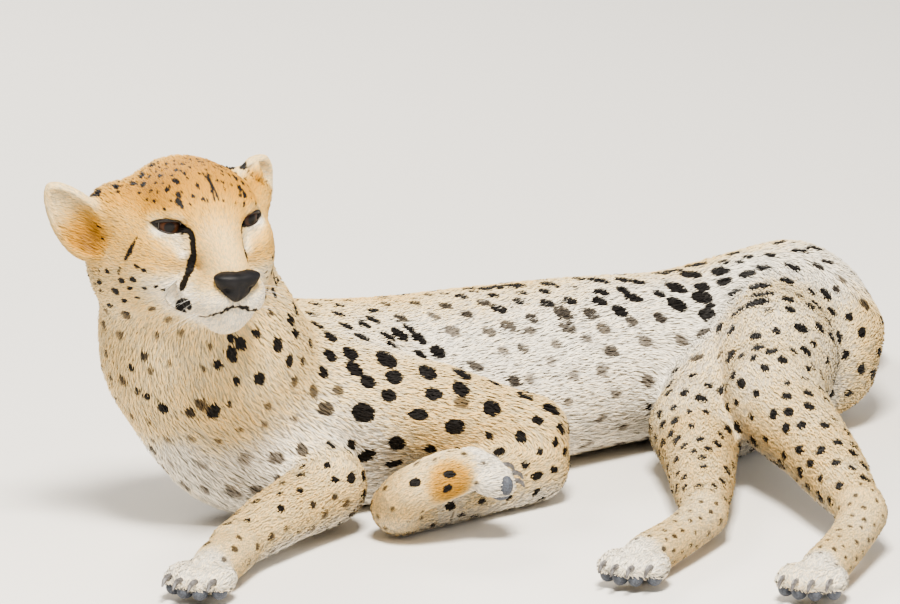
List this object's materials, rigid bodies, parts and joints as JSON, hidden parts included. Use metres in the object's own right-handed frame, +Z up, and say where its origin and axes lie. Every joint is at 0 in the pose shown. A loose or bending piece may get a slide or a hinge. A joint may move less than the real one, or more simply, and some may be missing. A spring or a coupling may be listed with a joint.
{
  "type": "lying cheetah model",
  "caption": "Life-size still model of a cheetah lying on its side with the chest half raised, head up and turned to its left, forelegs folded and tail curled behind",
  "frame": {"origin": "middle of the bounding box, on the floor", "axes": "+Z up; -X is towards the head and +X towards the rump; -Y is the belly side, where the feet lie, and +Y the back, where the tail lies"},
  "size_m": [1.0966, 0.9684, 0.3376],
  "materials": {
    "coat_tawny": "short flat fur, tawny with solid black spots",
    "coat_pale": "short flat fur, cream to white with faint spots",
    "nose_leather": "black, finely grained, slightly moist",
    "eye": "amber brown iris with a round pupil, wet gloss",
    "claw": "grey horn"
  },
  "bodies": {
    "root": {"head": "coat_tawny", "nose": "nose_leather", "eye_left": "eye", "eye_right": "eye", "ear_left": "coat_pale", "ear_right": "coat_pale", "neck": "coat_tawny", "chest": "coat_tawny", "belly": "coat_pale", "haunch": "coat_tawny", "tail_1": "coat_tawny", "tail_2": "coat_tawny", "tail_3": "coat_tawny", "foreleg_left_upper": "coat_tawny", "foreleg_left_lower": "coat_tawny", "foreleg_left_paw": "coat_pale", "foreleg_right_upper": "coat_tawny", "foreleg_right_lower": "coat_tawny", "foreleg_right_paw": "coat_pale", "hindleg_left_thigh": "coat_tawny", "hindleg_left_shank": "coat_tawny", "hindleg_left_foot": "coat_pale", "hindleg_right_thigh": "coat_tawny", "hindleg_right_shank": "coat_tawny", "hindleg_right_foot": "coat_pale", "foreleg_left_claw_1": "claw", "foreleg_left_claw_2": "claw", "foreleg_left_claw_3": "claw", "foreleg_left_claw_4": "claw", "foreleg_right_claw_1": "claw", "foreleg_right_claw_2": "claw", "foreleg_right_claw_3": "claw", "foreleg_right_claw_4": "claw", "hindleg_left_claw_1": "claw", "hindleg_left_claw_2": "claw", "hindleg_left_claw_3": "claw", "hindleg_left_claw_4": "claw", "hindleg_right_claw_1": "claw", "hindleg_right_claw_2": "claw", "hindleg_right_claw_3": "claw", "hindleg_right_claw_4": "claw"}
  },
  "joints": []
}
